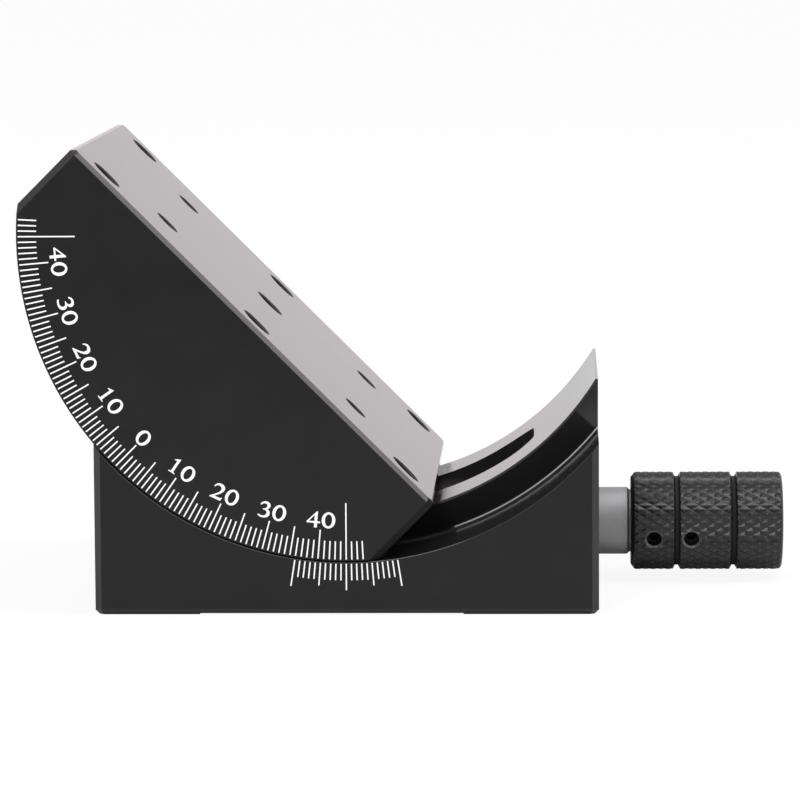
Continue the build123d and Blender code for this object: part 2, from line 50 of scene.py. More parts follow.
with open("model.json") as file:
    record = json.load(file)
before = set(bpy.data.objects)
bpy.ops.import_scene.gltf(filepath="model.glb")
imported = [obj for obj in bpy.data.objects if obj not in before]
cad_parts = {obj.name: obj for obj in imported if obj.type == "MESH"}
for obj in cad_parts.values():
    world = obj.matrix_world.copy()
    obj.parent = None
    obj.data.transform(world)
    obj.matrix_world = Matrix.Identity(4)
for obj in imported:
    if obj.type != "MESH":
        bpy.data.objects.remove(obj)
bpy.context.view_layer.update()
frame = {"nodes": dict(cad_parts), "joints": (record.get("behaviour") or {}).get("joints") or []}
joints = {joint["name"]: joint for joint in frame["joints"]}
TILT_HEIGHT = joints["tilt"]["pos_m"][2]
SHAFT_HEIGHT = joints["knob_turn"]["pos_m"][2]
KNOB_LOW, KNOB_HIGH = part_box("knob")
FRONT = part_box("base")[0].y
KNOB_RADIUS = (KNOB_HIGH.y - KNOB_LOW.y) / 2
REST_TILT = -radians(joints["tilt"]["range_deg"][0]) / 2

WHITE = (1.0, 1.0, 1.0, 1.0)

# The materials made so far, by the function that makes each.
FINISHES = {}

# How finely the knob is meshed.
BEVEL_STEPS = 4
END_STEPS = 6
DRILL_SIDES = 32

# The paint's thickness, as a multiple of how far it stands out.
PAINT_THICKNESS = 3

# The outlines of the engraved figures, in hundredths of a millimetre: x to the right, y up.
FIGURE_TALL = 196
FIGURES = {
    "0": [
        "M 164,98 C 164,152 128,196 82,196 C 37,196 0,152 0,98 C 0,44 37,0 82,0 C 128,0 164,44 164,98",
        "M 126,98 C 126,139 106,171 82,171 C 58,171 38,139 38,98 C 38,57 58,25 82,25 "
        "C 106,25 126,57 126,98",
    ],
    "1": [
        "M 20,0 L 20,8 L 49,15 L 51,25 L 51,154 L 16,150 L 16,158 L 78,194 L 82,194 L 82,25 "
        "L 84,15 L 111,8 L 111,0",
    ],
    "2": [
        "M 8,2 L 148,2 L 158,44 L 149,44 C 145,35 140,31 130,31 L 58,31 C 108,72 147,105 147,146 "
        "C 147,179 119,197 82,197 C 42,197 20,172 12,137 L 22,135 C 34,157 46,169 66,169 "
        "C 92,169 108,152 108,130 C 108,100 88,78 8,12",
    ],
    "3": [
        "M 12,148 C 20,180 46,197 78,197 C 114,197 135,177 135,150 C 135,131 123,117 103,109 "
        "C 131,101 147,85 147,59 C 147,24 114,-2 66,-2 C 40,-2 16,5 6,17 L 13,31 "
        "C 27,24 43,20 60,20 C 91,20 108,37 108,61 C 108,86 86,95 50,95 L 50,103 "
        "C 78,107 98,120 98,143 C 98,160 85,171 66,171 C 48,171 34,160 24,142",
    ],
    "4": [
        "M 132,195 L 119,195 L 6,71 L 6,54 L 97,54 L 97,0 L 132,0 L 132,54 L 166,54 L 166,75 "
        "L 132,75",
        "M 97,75 L 97,150 L 31,75",
    ],
}


def length(name, description, default):
    """A length that the panel shows."""
    return FloatProperty(name=name, description=description, default=default, unit="LENGTH")


def turn(name, description, default):
    """An angle that the panel shows."""
    return FloatProperty(
        name=name, description=description, default=radians(default), unit="ROTATION"
    )


def colour(name, description, default):
    """A colour that the panel shows."""
    return FloatVectorProperty(
        name=name,
        description=description,
        default=default,
        subtype="COLOR",
        size=3,
        min=0.0,
        max=1.0,
    )


def number(name, description, default):
    """A plain number that the panel shows."""
    return FloatProperty(name=name, description=description, default=default)


def count(name, description, default):
    """A whole number that the panel shows."""
    return IntProperty(name=name, description=description, default=default)


def position(name, description, default):
    """A position that the panel shows."""
    return FloatVectorProperty(
        name=name, description=description, default=default, unit="LENGTH", size=3
    )


class FinishSettings(bpy.types.PropertyGroup):
    """Colours and roughness of the finishes."""

    black: colour("Anodised black", "Colour of the anodised blocks", (0.0170, 0.0164, 0.0166))
    sheen: number("Anodised roughness", "Roughness of the blocks", 0.13)
    knob_black: colour("Knob black", "Colour of the knurled knob", (0.012, 0.012, 0.012))
    # The tips' lightening is partly wear, partly a painted highlight.
    tip_wear: number("Tip wear", "How much the diamonds' tips are lightened by wear and painted highlight, up to 1", 0.7)
    tip_start: number("Tip start", "Height on a diamond where the lightening starts, up to 1", 0.55)
    tip_light: number("Tip lightness", "A lightened tip's colour over the knob's black", 14.0)
    table_drop: length("Table drop", "From the tilt axis down to the table", 15.13 * MM)
    tapped_half: length("Tapped area", "Half the side of the area with tapped holes", 28.0 * MM)
    thread_start: length("Thread start", "From the table down to the first thread", 0.04 * MM)
    thread_end: length("Thread end", "From the table down to the last thread", 5.5 * MM)
    thread_pitch: length("Thread pitch", "From one thread to the next", 0.6 * MM)
    thread_depth: length("Thread depth", "Depth of the threads in the holes", 0.12 * MM)
    thread_rough: number("Thread roughness", "Roughness that the threads add", 0.45)
    # The next settings place a painted highlight on the facet at the rail's foot.
    bare: colour("Foot highlight", "Colour of the painted highlight at the rail's foot", (0.5, 0.49, 0.49))
    foot_radius: length("Foot radius", "From the tilt axis to the facet at the rail's foot", 38.62 * MM)
    foot_depth: length("Foot depth", "From the middle of the rail to that facet", 16.53 * MM)
    foot_reach: length("Foot reach", "Half the width of its painted highlight", 0.08 * MM)
    foot_start: length("Foot start", "From the middle to where the painted highlight starts", 12.6 * MM)
    steel: colour("Steel", "Colour of the ground steel pieces", (0.60, 0.595, 0.60))
    turned: colour("Turned steel", "Colour of the sleeve and the shim", (0.44, 0.445, 0.45))
    oxide: colour("Black oxide", "Colour of the blackened screws", (0.018, 0.018, 0.020))
    bronze: colour("Bronze", "Colour of the bearings and the toothed segment", (0.62, 0.40, 0.20))
    brass: colour("Brass", "Colour of the gib", (0.74, 0.56, 0.26))
    filler: colour("Scale white", "Colour of the paint in the engraving", (0.93, 0.93, 0.93))


class ScaleSettings(bpy.types.PropertyGroup):
    """The degree scale on the carriage and the vernier on the base."""

    reach: count("Reach", "Last degree mark on each side", 48)
    radius: length("Scale radius", "Outer end of the degree marks", 38.55 * MM)
    short: length("Degree mark", "Length of a degree mark", 2.18 * MM)
    middle: length("Five degree mark", "Length of every fifth mark", 3.45 * MM)
    long: length("End mark", "Length of the two marks at full travel", 6.75 * MM)
    width: length("Mark width", "Width of a mark", 0.155 * MM)
    proud: length("Mark height", "How far the paint stands out of its engraving", 0.02 * MM)
    vernier_radius: length("Vernier radius", "Inner end of the vernier's marks", 39.07 * MM)
    vernier_step: turn("Vernier division", "Nine tenths of a degree", 0.9)
    vernier_divisions: count("Vernier divisions", "Divisions on each side of the index", 10)
    vernier_short: length("Vernier mark", "Length of a vernier mark", 1.97 * MM)
    vernier_middle: length("Fifth vernier mark", "Length of every fifth mark", 2.7 * MM)
    vernier_long: length("Tenth vernier mark", "Length of every tenth mark", 3.15 * MM)
    figure_radius: length("Figure radius", "Middle of the figures", 33.9 * MM)
    figure_advance: length("Figure advance", "From one figure to the next", 1.78 * MM)
    figure_height: length("Figure height", "Height of the figures", 1.94 * MM)
    figure_step: count("Figure step", "Degrees between figures", 10)


class KnobSettings(bpy.types.PropertyGroup):
    """The knurled knob."""

    first_band: length("First band", "Length of the band next to the base", 5.72 * MM)
    second_band: length("Second band", "Length of the middle band", 7.05 * MM)
    groove_depth: length("Groove depth", "Depth of the grooves between the bands", 0.55 * MM)
    groove_run: length("Groove side", "Length of a groove's sloping side", 0.3 * MM)
    groove_flat: length("Groove floor", "Width of a groove's flat floor", 0.36 * MM)
    start_length: length("Start bevel", "Length of the bevel next to the base", 0.5 * MM)
    start_depth: length("Start bevel depth", "Depth of the bevel next to the base", 0.7 * MM)
    rounding: length("End rounding", "Radius of the outer end's edge", 0.6 * MM)
    dome: length("End dome", "Rise of the outer end's face", 0.2 * MM)
    bore: length("Bore radius", "Radius of the hole for the shaft", 2.02 * MM)
    bore_depth: length("Bore depth", "Depth of the hole for the shaft", 15.0 * MM)
    diamonds: count("Diamonds", "Diamonds around the knob", 35)
    diamond_length: length("Diamond length", "Length of a diamond along the knob", 1.87 * MM)
    diamond_depth: length("Knurl depth", "Depth between the diamonds", 0.16 * MM)
    divisions: count("Divisions", "Mesh rows in a diamond", 10)
    screw_radius: length("Screw hole", "Radius of the set screws' holes", 1.12 * MM)
    screw_mouth: length("Screw hole mouth", "Inner radius of the holes' bright rims", 0.94 * MM)
    screw_angle: turn("Screw angle", "How far below level the set screws point", 16.0)


class StudioSettings(bpy.types.PropertyGroup):
    """The camera, the lamps and the pale surroundings."""

    camera_place: position(
        "Camera place", "Where the camera stands", (0.024863, -0.558913, 0.085022)
    )
    camera_yaw: turn("Camera yaw", "Turn of the camera to the left", degrees(0.0347))
    camera_dip: turn("Camera dip", "How far the camera looks down", degrees(0.11166))
    camera_roll: turn("Camera roll", "Roll of the camera", degrees(-0.00597))
    lens: number("Lens", "Focal length in millimetres", 202.75)
    film: number("Film", "Width of the camera's frame in millimetres", 36.0)
    floor_half: length("Floor", "Half the floor's side", 20.0)
    floor_colour: colour("Floor colour", "Colour of the floor", (0.9, 0.9, 0.9))
    floor_glow: number("Floor glow", "Share of plain white in the floor that the camera sees", 0.9)
    surroundings: number("Surroundings", "Light from the white surroundings", 0.84)
    reflected: colour("Reflected", "Colour that glossy faces mirror", (1.0, 0.945, 0.965))
    front_shade: number("Front shade", "How much darker the floor's mirror image is in front", 0.66)
    shade_start: length("Shade start", "Where the darker floor begins, in front", 0.034)
    shade_run: number("Shade run", "How much the floor darkens in a metre", 0.6)
    shade_most: number("Shade limit", "The darkest that the floor's mirror image gets", 0.95)
    side_lamp: number("Side lamp", "Radiance of the upright lamp on the front left", 10.0)
    side_lamp_width: length("Side lamp width", "Width of the lamp on the front left", 0.1)
    side_lamp_height: length("Side lamp height", "Height of the lamp on the front left", 0.7)
    side_lamp_place: position(
        "Side lamp place", "Middle of that lamp, seen from the stage", (-0.25, -0.84, 0.46)
    )
    softbox: number("Softbox", "Radiance of the long lamp overhead", 4.5)
    softbox_length: length("Softbox length", "Length of the lamp overhead", 1.8)
    softbox_width: length("Softbox width", "Width of the lamp overhead", 0.26)
    softbox_place: position(
        "Softbox place", "Middle of that lamp, seen from the stage", (0.31, -0.09, 0.9)
    )


class Socket:
    """A node's output. Arithmetic on it adds the nodes that work the result out."""

    def __init__(self, maker, socket):
        self.maker = maker
        self.socket = socket

    def __add__(self, other):
        return self.maker.math("ADD", self, other)

    __radd__ = __add__

    def __sub__(self, other):
        return self.maker.math("SUBTRACT", self, other)

    def __rsub__(self, other):
        return self.maker.math("SUBTRACT", other, self)

    def __mul__(self, other):
        return self.maker.math("MULTIPLY", self, other)

    __rmul__ = __mul__

    def __truediv__(self, other):
        return self.maker.math("DIVIDE", self, other)

    def __rtruediv__(self, other):
        return self.maker.math("DIVIDE", other, self)

    def __mod__(self, other):
        return self.maker.math("FLOORED_MODULO", self, other)

    def __rmod__(self, other):
        return self.maker.math("FLOORED_MODULO", other, self)

    def __abs__(self):
        return self.maker.math("ABSOLUTE", self)

    def __lt__(self, other):
        return self.maker.math("LESS_THAN", self, other)

    def __gt__(self, other):
        return self.maker.math("GREATER_THAN", self, other)


class NodeMaker:
    """Adds nodes to one tree."""

    def __init__(self, tree):
        self.tree = tree
        tree.nodes.clear()

    def node(self, kind, settings=None, values=None, outputs=()):
        """Adds a node: its settings first, then the values or links of its sockets."""
        node = self.tree.nodes.new(kind)
        for name, value in (settings or {}).items():
            setattr(node, name, value)
        for name, value in (values or {}).items():
            self.feed(self.find(node.inputs, name), value)
        if isinstance(outputs, str):
            return Socket(self, self.find(node.outputs, outputs))
        if outputs:
            return [Socket(self, self.find(node.outputs, name)) for name in outputs]
        used = [socket for socket in node.outputs if socket.enabled]
        return Socket(self, used[0]) if used else node

    def find(self, sockets, name):
        """The socket in use with a name, or with a place in the list."""
        if isinstance(name, int):
            return sockets[name]
        return next(socket for socket in sockets if socket.enabled and socket.name == name)

    def feed(self, target, value):
        """Links an output to an input, or sets the input's own value."""
        if isinstance(value, Socket):
            self.tree.links.new(value.socket, target)
        else:
            target.default_value = value

    def math(self, operation, *values):
        """A Math node on sockets and numbers."""
        return self.node("ShaderNodeMath", {"operation": operation}, dict(enumerate(values)))

    def axes(self, vector):
        """The three numbers of a vector."""
        return self.node("ShaderNodeSeparateXYZ", None, {0: vector}, ("X", "Y", "Z"))

    def vector(self, x=0.0, y=0.0, z=0.0):
        """A vector from three numbers."""
        return self.node("ShaderNodeCombineXYZ", None, {"X": x, "Y": y, "Z": z})

    def mix_colours(self, factor, first, second):
        """A colour between two colours."""
        return self.node(
            "ShaderNodeMix", {"data_type": "RGBA"}, {"Factor": factor, "A": first, "B": second}
        )

    def shades(self, factor, rgb, first, second):
        """A colour times one factor where the mask is 0, and times another where it is 1."""
        return self.mix_colours(factor, shade(rgb, first), shade(rgb, second))

    def noise(self, place, size, detail=2.0):
        """Noise from 0 to 1 whose features are about as large as a length in metres."""
        return self.node(
            "ShaderNodeTexNoise",
            None,
            {"Vector": place, "Scale": 1.0 / size, "Detail": detail, "Roughness": 0.55},
            "Fac",
        )

    def lines(self, place, size):
        """Noise from 0 to 1 that changes along one axis only."""
        return self.node(
            "ShaderNodeTexNoise",
            {"noise_dimensions": "1D"},
            {"W": place, "Scale": 1 / size, "Detail": 2.0},
            "Fac",
        )


def shade(rgb, factor=1.0):
    """A colour with alpha, made lighter or darker."""
    return (rgb[0] * factor, rgb[1] * factor, rgb[2] * factor, 1.0)


def finish(build):
    """The material of a finish, made on its first use by a function that returns its surface."""
    if build not in FINISHES:
        material = bpy.data.materials.new(build.__name__)
        material.use_nodes = True
        maker = NodeMaker(material.node_tree)
        surface = build(maker, maker.node("ShaderNodeTexCoord", outputs="Object"))
        maker.node("ShaderNodeOutputMaterial", None, {"Surface": surface})
        FINISHES[build] = material
    return FINISHES[build]


def principled(maker, values, bump, distance, strength=1.0):
    """A Principled surface with a bump, whose height is the bump times a distance in metres."""
    values["Normal"] = maker.node(
        "ShaderNodeBump", None, {"Height": bump, "Distance": distance, "Strength": strength}
    )
    return maker.node("ShaderNodeBsdfPrincipled", None, values)


def anodised_black(maker, place):
    """Silky black anodising, with threads in the table's holes and a painted highlight: a lighter strip
    on the facet at the rail's foot.
    """
    settings = bpy.context.scene.gonio_finish
    mottle = maker.noise(place, 6 * MM, 3.0)
    grain = maker.noise(place, 0.12 * MM)
    x, y, z = maker.axes(place)
    z = z - TILT_HEIGHT
    depth = -settings.table_drop - (x * sin(REST_TILT) + z * cos(REST_TILT))
    along = x * cos(REST_TILT) - z * sin(REST_TILT)
    tapped = (depth > settings.thread_start) * (depth < settings.thread_end)
    tapped = tapped * (abs(along) < settings.tapped_half) * (abs(y) < settings.tapped_half)
    thread = maker.math("SINE", depth * (tau / settings.thread_pitch))
    # Painted highlight: a lighter colour on the thin facet at the rail's foot, where light would glint.
    # It starts a set distance out from the middle.
    radius = maker.math("SQRT", x * x + z * z)
    highlight_and_wear = abs(radius - settings.foot_radius) < settings.foot_reach
    highlight_and_wear = highlight_and_wear * (abs(abs(y) - settings.foot_depth) < settings.foot_reach)
    highlight_and_wear = highlight_and_wear * (abs(x) > settings.foot_start)
    black = maker.shades(mottle, settings.black, 0.85, 1.2)
    rough = settings.sheen - 0.03 + 0.04 * mottle + 0.02 * grain + settings.thread_rough * tapped
    return principled(
        maker,
        {
            "Base Color": maker.mix_colours(highlight_and_wear, black, shade(settings.bare)),
            "Roughness": rough,
            "IOR": 1.38,
            "Specular Tint": (1.0, 0.95, 0.965, 1.0),
        },
        0.002 * MM * grain + settings.thread_depth * tapped * thread,
        1.0,
    )


def knurled_black(maker, place):
    """Black anodising on the knurl, lighter on the diamonds' tips: partly wear, partly a painted
    highlight.
    """
    settings = bpy.context.scene.gonio_finish
    ridge = maker.node("ShaderNodeAttribute", {"attribute_name": "ridge"}, outputs="Fac")
    speckle = maker.noise(place, 0.35 * MM, 3.0)
    steepness = 2.2
    # Lighter tips: partly wear, partly a painted highlight standing in for glints on the diamonds. The
    # screw holes' rims get the same painted highlight.
    highlight_and_wear = maker.math("MAXIMUM", ridge - settings.tip_start, 0.0) * steepness * speckle
    return principled(
        maker,
        {
            "Base Color": maker.shades(highlight_and_wear, settings.knob_black, 0.8, settings.tip_light),
            "Roughness": 0.18 + 0.10 * speckle - 0.04 * highlight_and_wear,
            "IOR": 1.42,
        },
        speckle,
        0.012 * MM,
        0.6,
    )


def dull_black(maker, place):
    """Matt black with little gloss, a little dusty in patches: painted shade in the knob's grooves and
    on its set screws.
    """
    settings = bpy.context.scene.gonio_finish
    dust = maker.noise(place, 0.8 * MM, 3.0)
    return principled(
        maker,
        {
            "Base Color": maker.shades(dust, settings.knob_black, 0.7, 1.4),
            "Roughness": 0.5 + 0.2 * dust,
            "IOR": 1.22,
        },
        dust,
        0.006 * MM,
        0.5,
    )


def turned_steel(maker, place):
    """Bare steel with fine turning rings around the shaft's axis."""
    settings = bpy.context.scene.gonio_finish
    rings = maker.lines(maker.axes(place)[0], 0.09 * MM)
    clouds = maker.noise(place, 2.5 * MM, 3.0)
    return principled(
        maker,
        {
            "Base Color": maker.shades(clouds, settings.turned, 0.85, 1.08),
            "Metallic": 1.0,
            "Roughness": 0.58 + 0.10 * clouds,
        },
        rings,
        0.003 * MM,
        0.6,
    )


def ground_steel(maker, place):
    """Ground, hardened steel."""
    settings = bpy.context.scene.gonio_finish
    clouds = maker.noise(place, 1.2 * MM, 3.0)
    grain = maker.noise(place, 0.06 * MM)
    return principled(
        maker,
        {
            "Base Color": maker.shades(clouds, settings.steel, 0.8, 0.95),
            "Metallic": 1.0,
            "Roughness": 0.2 + 0.1 * clouds,
        },
        grain,
        0.001 * MM,
        0.5,
    )


def black_oxide(maker, place):
    """Black oxide on small screws, with bare steel rubbed through in spots."""
    settings = bpy.context.scene.gonio_finish
    clouds = maker.noise(place, 0.5 * MM, 4.0)
    return principled(
        maker,
        {
            "Base Color": maker.shades(clouds, settings.oxide, 0.7, 1.8),
            "Roughness": 0.3 + 0.15 * clouds,
            "IOR": 1.5,
        },
        clouds,
        0.004 * MM,
        0.5,
    )


def cast_bronze(maker, place):
    """Machined bronze, darker in patches where it has tarnished."""
    settings = bpy.context.scene.gonio_finish
    tarnish = maker.noise(place, 1.8 * MM, 4.0)
    grain = maker.noise(place, 0.08 * MM)
    return principled(
        maker,
        {
            "Base Color": maker.shades(tarnish, settings.bronze, 1.05, 0.6),
            "Metallic": 1.0,
            "Roughness": 0.26 + 0.18 * tarnish,
        },
        grain,
        0.002 * MM,
        0.5,
    )


def drawn_brass(maker, place):
    """Brass strip with drawing lines along its length."""
    settings = bpy.context.scene.gonio_finish
    lines = maker.lines(maker.axes(place)[1], 0.06 * MM)
    patches = maker.noise(place, 3 * MM, 3.0)
    return principled(
        maker,
        {
            "Base Color": maker.shades(patches, settings.brass, 0.8, 1.05),
            "Metallic": 1.0,
            "Roughness": 0.22 + 0.14 * patches,
        },
        lines,
        0.002 * MM,
        0.5,
    )


def white_filler(maker, place):
    """White paint rubbed into the engraving, slightly uneven."""
    settings = bpy.context.scene.gonio_finish
    patches = maker.noise(place, 0.4 * MM, 3.0)
    return principled(
        maker,
        {
            "Base Color": maker.shades(patches, settings.filler, 0.94, 1.04),
            "Roughness": 0.55 + 0.1 * patches,
        },
        patches,
        0.004 * MM,
        0.4,
    )


def dressed(obj, material):
    """Gives an object one material."""
    obj.data.materials.clear()
    obj.data.materials.append(material)


def shown(name, mesh):
    """A new object for a mesh, in the scene."""
    obj = bpy.data.objects.new(name, mesh)
    bpy.context.scene.collection.objects.link(obj)
    return obj


def made_plain(obj, name):
    """Turns an object with modifiers, or a curve, into a plain mesh object."""
    graph = bpy.context.evaluated_depsgraph_get()
    mesh = bpy.data.meshes.new_from_object(obj.evaluated_get(graph))
    mesh.name = name
    bpy.data.objects.remove(obj)
    return shown(name, mesh)


def grown(name, tree, inputs, start=None):
    """Runs a geometry node tree, with inputs by name, and keeps the result as a plain mesh."""
    obj = start or shown(name + ".seed", bpy.data.meshes.new(name))
    modifier = obj.modifiers.new(tree.name, "NODES")
    modifier.node_group = tree
    for item in tree.interface.items_tree:
        if item.in_out == "INPUT" and item.name in inputs:
            modifier[item.identifier] = inputs[item.name]
    return made_plain(obj, name)


def geometry_tree(name, inputs):
    """A geometry node tree with named inputs, its maker and the inputs as sockets."""
    tree = bpy.data.node_groups.new(name, "GeometryNodeTree")
    tree.interface.new_socket("Geometry", in_out="INPUT", socket_type="NodeSocketGeometry")
    tree.interface.new_socket("Geometry", in_out="OUTPUT", socket_type="NodeSocketGeometry")
    kinds = {
        int: "NodeSocketInt",
        float: "NodeSocketFloat",
        bpy.types.Material: "NodeSocketMaterial",
    }
    for label, kind in inputs.items():
        tree.interface.new_socket(label, in_out="INPUT", socket_type=kinds[kind])
    maker = NodeMaker(tree)
    names = ["Geometry", *inputs]
    sockets = maker.node("NodeGroupInput", outputs=names)
    return tree, maker, dict(zip(names, sockets))


def end_tree(maker, geometry, material, selection=True):
    """Realizes the instances, sets the material where asked and links the tree's output."""
    real = maker.node("GeometryNodeRealizeInstances", None, {"Geometry": geometry})
    coated = maker.node(
        "GeometryNodeSetMaterial",
        None,
        {"Geometry": real, "Selection": selection, "Material": material},
    )
    maker.node("NodeGroupOutput", None, {"Geometry": coated})


def marks_tree():
    """Radial marks around the tilt axis, on a face across Y."""
    tree, maker, given = geometry_tree(
        "radial_marks",
        {
            "Count": int,
            "First Angle": float,
            "Step": float,
            "Offset": int,
            "Middle Every": int,
            "Long Every": int,
            "Short Length": float,
            "Middle Length": float,
            "Long Length": float,
            "Foot Radius": float,
            "Direction": float,
            "Width": float,
            "Thickness": float,
            "Face": float,
            "Axis Height": float,
            "Material": bpy.types.Material,
        },
    )
    index = maker.node("GeometryNodeInputIndex")
    counted = index - given["Offset"]
    middle = (abs(counted) % given["Middle Every"]) < 0.5
    long = (abs(counted) % given["Long Every"]) < 0.5
    size = given["Short Length"] + middle * (given["Middle Length"] - given["Short Length"])
    size = size + long * (given["Long Length"] - size)
    angle = given["First Angle"] + index * given["Step"]
    radius = given["Foot Radius"] + given["Direction"] * size / 2
    spot = maker.vector(
        radius * maker.math("SINE", angle),
        given["Face"],
        given["Axis Height"] - radius * maker.math("COSINE", angle),
    )
    points = maker.node("GeometryNodePoints", None, {"Count": given["Count"], "Position": spot})
    bar = maker.node("GeometryNodeMeshCube", outputs="Mesh")
    bars = maker.node(
        "GeometryNodeInstanceOnPoints",
        None,
        {
            "Points": points,
            "Instance": bar,
            "Rotation": maker.vector(y=0.0 - angle),
            "Scale": maker.vector(given["Width"], given["Thickness"], size),
        },
    )
    end_tree(maker, bars, given["Material"])
    return tree


def knurl_tree():
    """Cuts two crossing families of helical grooves into what stands out to a radius."""
    tree, maker, given = geometry_tree(
        "diamond_knurl",
        {
            "Diamonds": int,
            "Diamond Length": float,
            "Depth": float,
            "Radius": float,
            "Start": float,
            "Axis Height": float,
            "Groove Radius": float,
            "Groove End": float,
            "Wear": float,
            "Material": bpy.types.Material,
            "Groove Shade Material": bpy.types.Material,
        },
    )
    x, y, z = maker.axes(maker.node("GeometryNodeInputPosition"))
    z = z - given["Axis Height"]
    radius = maker.math("SQRT", y * y + z * z)
    around = maker.math("ARCTAN2", z, y) / tau * given["Diamonds"]
    along = (x - given["Start"]) / given["Diamond Length"]
    first = abs((around + along) % 1.0 - 0.5) * 2.0
    second = abs((around - along) % 1.0 - 0.5) * 2.0
    bluntness = 1.25
    height = maker.math("MINIMUM", maker.math("MINIMUM", first, second) * bluntness, 1.0)
    cut = given["Radius"] - given["Depth"] * (1.0 - height)
    kept = maker.math("MINIMUM", radius, cut)
    least = 0.01 * MM
    scale = kept / maker.math("MAXIMUM", radius, least)
    moved = maker.vector(x, y * scale, z * scale + given["Axis Height"])
    placed = maker.node(
        "GeometryNodeSetPosition", None, {"Geometry": given["Geometry"], "Position": moved}
    )
    ridge = maker.math("MAXIMUM", 1.0 - (given["Radius"] - radius) / given["Depth"], 0.0)
    ridge = ridge * height * given["Wear"]
    stored = maker.node(
        "GeometryNodeStoreNamedAttribute",
        {"data_type": "FLOAT", "domain": "POINT"},
        {"Geometry": placed, "Name": "ridge", "Value": ridge},
    )
    knurled = maker.node(
        "GeometryNodeSetMaterial", None, {"Geometry": stored, "Material": given["Material"]}
    )
    # The grooves between the bands get the matt black of little gloss: painted shade.
    in_groove = (radius < given["Groove Radius"]) * (x > given["Start"])
    in_groove = in_groove * (x < given["Groove End"])
    end_tree(maker, knurled, given["Groove Shade Material"], in_groove)
    return tree


def marks(name, body, tree, inputs):
    """A row of radial marks that rides on a body."""
    settings = bpy.context.scene.gonio_scale
    common = {
        "Middle Every": 5,
        "Width": settings.width,
        "Thickness": PAINT_THICKNESS * settings.proud,
        "Face": FRONT + settings.proud / 2,
        "Axis Height": TILT_HEIGHT,
        "Material": finish(white_filler),
    }
    obj = grown(name, tree, common | inputs)
    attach(obj, body)


def outline_points(path):
    """The points of a closed outline, as (point, handle before, handle after)."""
    points = []
    handles = []
    command = None
    for word in path.split():
        if word in "MLC":
            command = word
            handles = []
            continue
        x, y = (float(value) for value in word.split(","))
        spot = Vector((x, y, 0.0))
        if command == "C" and len(handles) < 2:
            handles.append(spot)
            continue
        if command == "C":
            points[-1][2] = handles[0]
            points.append([spot, handles[1], None])
            handles = []
        else:
            points.append([spot, None, None])
    if len(points) > 2 and (points[-1][0] - points[0][0]).length < 0.5:
        points[0][1] = points[-1][1]
        points.pop()
    return points


def figure_mesh(text, settings):
    """A flat mesh of figures, centred on its origin, with x to the right, y up and z outwards."""
    unit = settings.figure_height / FIGURE_TALL
    curve = bpy.data.curves.new("figure", "CURVE")
    curve.dimensions = "2D"
    curve.fill_mode = "BOTH"
    curve.extrude = PAINT_THICKNESS * settings.proud / 2
    curve.resolution_u = 8
    for place, character in enumerate(text):
        outlines = [outline_points(path) for path in FIGURES[character]]
        xs = [point[0].x for point in outlines[0]]
        shift = (place - (len(text) - 1) / 2) * settings.figure_advance / unit
        shift -= (min(xs) + max(xs)) / 2
        move = Vector((shift, -FIGURE_TALL / 2, 0.0))
        for outline in outlines:
            spline = curve.splines.new("BEZIER")
            spline.bezier_points.add(len(outline) - 1)
            spline.use_cyclic_u = True
            for knot, (spot, before, after) in zip(spline.bezier_points, outline):
                knot.handle_left_type = "FREE"
                knot.handle_right_type = "FREE"
                knot.co = (spot + move) * unit
                knot.handle_left = ((before or spot) + move) * unit
                knot.handle_right = ((after or spot) + move) * unit
    return made_plain(shown("figure", curve), "figure")


def turned(profile, segments, height):
    """A closed mesh turned around the shaft's axis; profile holds (x, radius) from end to end."""
    builder = bmesh.new()
    rows = []
    angles = [tau * i / segments for i in range(segments)]
    for x, radius in profile:
        if radius <= 0:
            rows.append([builder.verts.new((x, 0, height))])
            continue
        ring = [(x, radius * cos(angle), height + radius * sin(angle)) for angle in angles]
        rows.append([builder.verts.new(spot) for spot in ring])
    for before, after in zip(rows, rows[1:]):
        for i in range(segments):
            j = (i + 1) % segments
            if len(before) == 1:
                builder.faces.new((before[0], after[i], after[j]))
            elif len(after) == 1:
                builder.faces.new((before[i], after[0], before[j]))
            else:
                builder.faces.new((before[i], after[i], after[j], before[j]))
    bmesh.ops.recalc_face_normals(builder, faces=builder.faces)
    mesh = bpy.data.meshes.new("turned")
    builder.to_mesh(mesh)
    builder.free()
    return mesh


def slope(start, stop):
    """Points from a start towards a stop, without the stop."""
    return [
        (
            start[0] + (stop[0] - start[0]) * part / BEVEL_STEPS,
            start[1] + (stop[1] - start[1]) * part / BEVEL_STEPS,
        )
        for part in range(BEVEL_STEPS)
    ]


